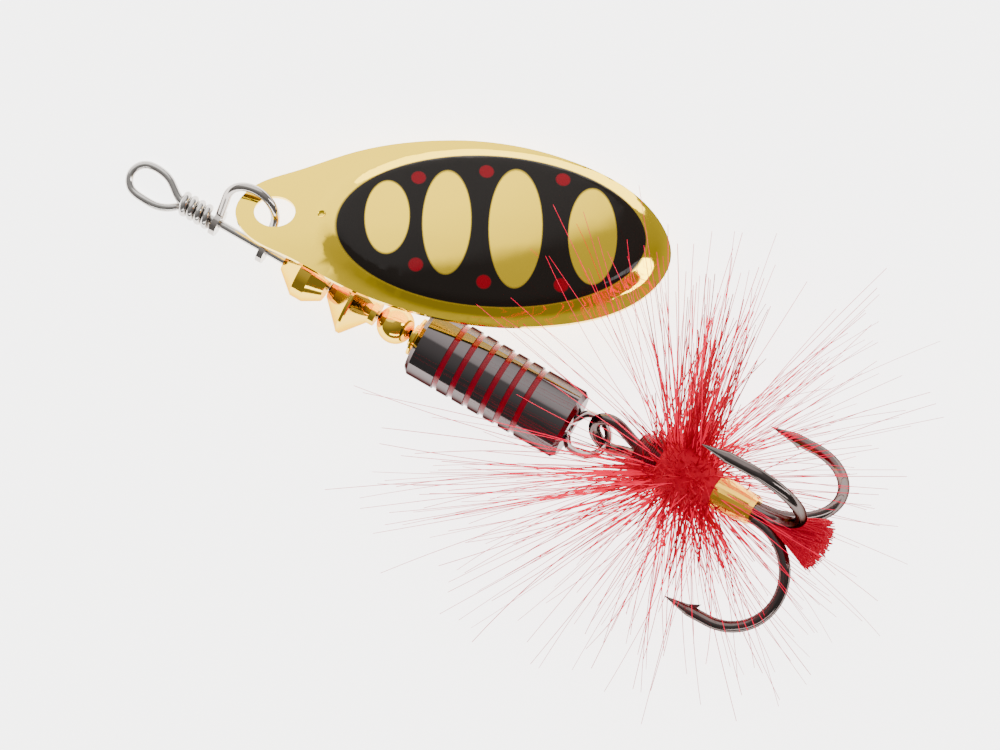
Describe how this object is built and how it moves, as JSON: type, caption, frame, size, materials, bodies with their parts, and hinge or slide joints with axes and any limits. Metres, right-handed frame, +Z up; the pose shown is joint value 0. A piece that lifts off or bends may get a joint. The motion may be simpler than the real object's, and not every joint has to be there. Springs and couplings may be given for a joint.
{
  "type": "inline spinner lure",
  "caption": "Inline spinner fishing lure: wire shaft with line eye, clevis-hung blade, beads, grooved weight and a dressed treble hook that swings on the rear loop.",
  "frame": {"origin": "bottom centre of the bounding box, on the surface the lure lies on", "axes": "+X from the line eye towards the treble hook, along the shaft seen from above; +Z up from the surface; +Y to the side the blade lies on"},
  "size_m": [0.0618, 0.0266, 0.0189],
  "materials": {
    "stainless_wire": "bright drawn wire",
    "nickel_clevis": "bright nickel plate",
    "blade_plate": "polished gold plate with a black lacquer oval and red dots",
    "bead_brass": "polished gold plate",
    "weight_nickel": "black nickel mirror",
    "red_enamel": "glossy enamel",
    "hook_black_nickel": "black nickel",
    "red_thread": "varnished thread",
    "red_feather": "soft feather fibre",
    "gold_tinsel": "metallic tinsel",
    "red_yarn": "cut yarn"
  },
  "bodies": {
    "shaft": {"shaft_wire": "stainless_wire"},
    "clevis": {"clevis": "nickel_clevis"},
    "blade": {"blade": "blade_plate"},
    "front_bearing": {"front_bearing": "bead_brass"},
    "disc_bead": {"disc_bead": "bead_brass"},
    "ball_bead": {"ball_bead": "bead_brass"},
    "spacer_collar": {"spacer_collar": "bead_brass"},
    "weight": {"weight_body": "weight_nickel", "groove_ring_1": "red_enamel", "groove_ring_2": "red_enamel", "groove_ring_3": "red_enamel", "groove_ring_4": "red_enamel", "groove_ring_5": "red_enamel", "groove_ring_6": "red_enamel"},
    "treble": {"double_hook": "hook_black_nickel", "third_hook": "hook_black_nickel", "thread_wrap": "red_thread", "hackle": "red_feather", "tinsel_wrap": "gold_tinsel", "tail_tuft": "red_yarn"}
  },
  "joints": [
    {"name": "clevis_spin", "type": "hinge", "parent": "shaft", "child": "clevis", "pos_m": [-0.02065, -0.00497, 0.00162], "axis": [0.993, 0, 0.1184], "continuous": true},
    {"name": "blade_swing", "type": "hinge", "parent": "clevis", "child": "blade", "pos_m": [-0.01914, -0.00209, 0.00471], "axis": [0.389, -0.8722, 0.2965], "range_deg": [0, 50]},
    {"name": "front_bearing_spin", "type": "hinge", "parent": "shaft", "child": "front_bearing", "pos_m": [-0.01454, -0.00497, 0.00235], "axis": [0.993, 0, 0.1184], "continuous": true},
    {"name": "disc_bead_spin", "type": "hinge", "parent": "shaft", "child": "disc_bead", "pos_m": [-0.01037, -0.00497, 0.00285], "axis": [0.993, 0, 0.1184], "continuous": true},
    {"name": "ball_bead_spin", "type": "hinge", "parent": "shaft", "child": "ball_bead", "pos_m": [-0.0067, -0.00497, 0.00329], "axis": [0.993, 0, 0.1184], "continuous": true},
    {"name": "spacer_collar_spin", "type": "hinge", "parent": "shaft", "child": "spacer_collar", "pos_m": [-0.00481, -0.00497, 0.00351], "axis": [0.993, 0, 0.1184], "continuous": true},
    {"name": "weight_spin", "type": "hinge", "parent": "shaft", "child": "weight", "pos_m": [0.00234, -0.00497, 0.00437], "axis": [0.993, 0, 0.1184], "continuous": true},
    {"name": "treble_swing", "type": "hinge", "parent": "shaft", "child": "treble", "pos_m": [0.01198, -0.00436, 0.00524], "axis": [-0.3437, 0.8409, -0.418], "range_deg": [-35, 35]}
  ]
}
